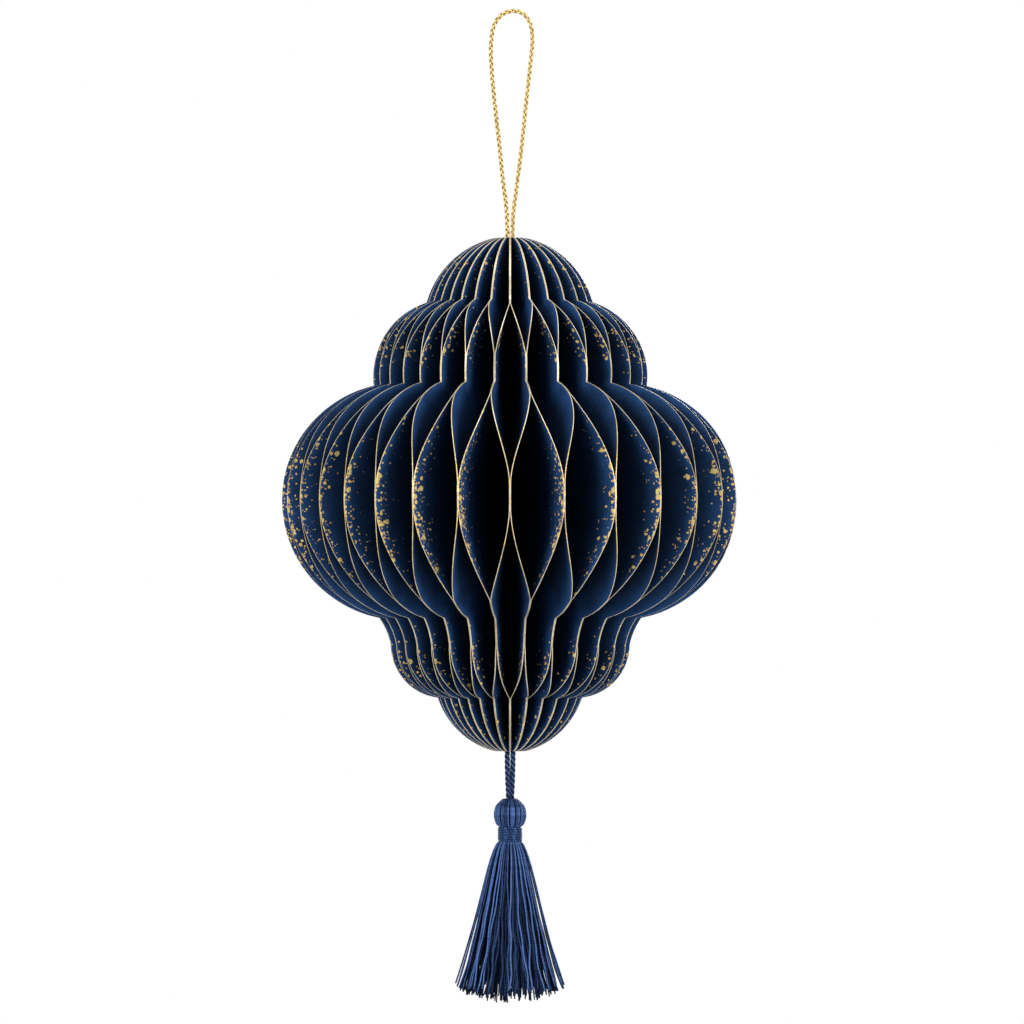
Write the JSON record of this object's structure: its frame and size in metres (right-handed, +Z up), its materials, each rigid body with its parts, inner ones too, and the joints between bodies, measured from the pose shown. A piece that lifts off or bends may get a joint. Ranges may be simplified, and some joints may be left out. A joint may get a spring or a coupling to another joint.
{
  "type": "honeycomb paper lantern",
  "caption": "Hanging honeycomb ornament of dark blue paper leaves with gilt edges, fanned round a spine in a tiered lantern outline, with a gold cord loop above and a blue tassel below.",
  "frame": {"origin": "where a hook bears inside the top of the hanging loop, on the lantern's axis", "axes": "+Z up along the axis, towards the hook; -Y faces the picture's viewer; +X to the viewer's right"},
  "size_m": [0.1195, 0.1196, 0.2616],
  "materials": {
    "navy_paper": "matte",
    "spine_paper": "matte",
    "gold_cord": "satin",
    "navy_cord": "satin",
    "navy_thread": "satin",
    "navy_binding": "satin"
  },
  "bodies": {
    "root": {"leaf_01": "navy_paper", "leaf_02": "navy_paper", "leaf_03": "navy_paper", "leaf_04": "navy_paper", "leaf_05": "navy_paper", "leaf_06": "navy_paper", "leaf_07": "navy_paper", "leaf_08": "navy_paper", "leaf_09": "navy_paper", "leaf_10": "navy_paper", "leaf_11": "navy_paper", "leaf_12": "navy_paper", "leaf_13": "navy_paper", "leaf_14": "navy_paper", "leaf_15": "navy_paper", "leaf_16": "navy_paper", "leaf_17": "navy_paper", "leaf_18": "navy_paper", "leaf_19": "navy_paper", "leaf_20": "navy_paper", "leaf_21": "navy_paper", "leaf_22": "navy_paper", "leaf_23": "navy_paper", "leaf_24": "navy_paper", "leaf_25": "navy_paper", "leaf_26": "navy_paper", "leaf_27": "navy_paper", "leaf_28": "navy_paper", "leaf_29": "navy_paper", "leaf_30": "navy_paper", "leaf_31": "navy_paper", "leaf_32": "navy_paper", "leaf_33": "navy_paper", "leaf_34": "navy_paper", "leaf_35": "navy_paper", "leaf_36": "navy_paper", "leaf_37": "navy_paper", "leaf_38": "navy_paper", "leaf_39": "navy_paper", "leaf_40": "navy_paper", "leaf_41": "navy_paper", "leaf_42": "navy_paper", "leaf_43": "navy_paper", "leaf_44": "navy_paper", "leaf_45": "navy_paper", "leaf_46": "navy_paper", "leaf_47": "navy_paper", "leaf_48": "navy_paper", "leaf_49": "navy_paper", "leaf_50": "navy_paper", "leaf_51": "navy_paper", "leaf_52": "navy_paper", "leaf_53": "navy_paper", "leaf_54": "navy_paper", "spine_core": "spine_paper", "hanging_loop": "gold_cord", "tassel_loop": "navy_cord", "tassel_hank": "navy_thread", "tassel_wrap": "navy_binding"}
  },
  "joints": []
}
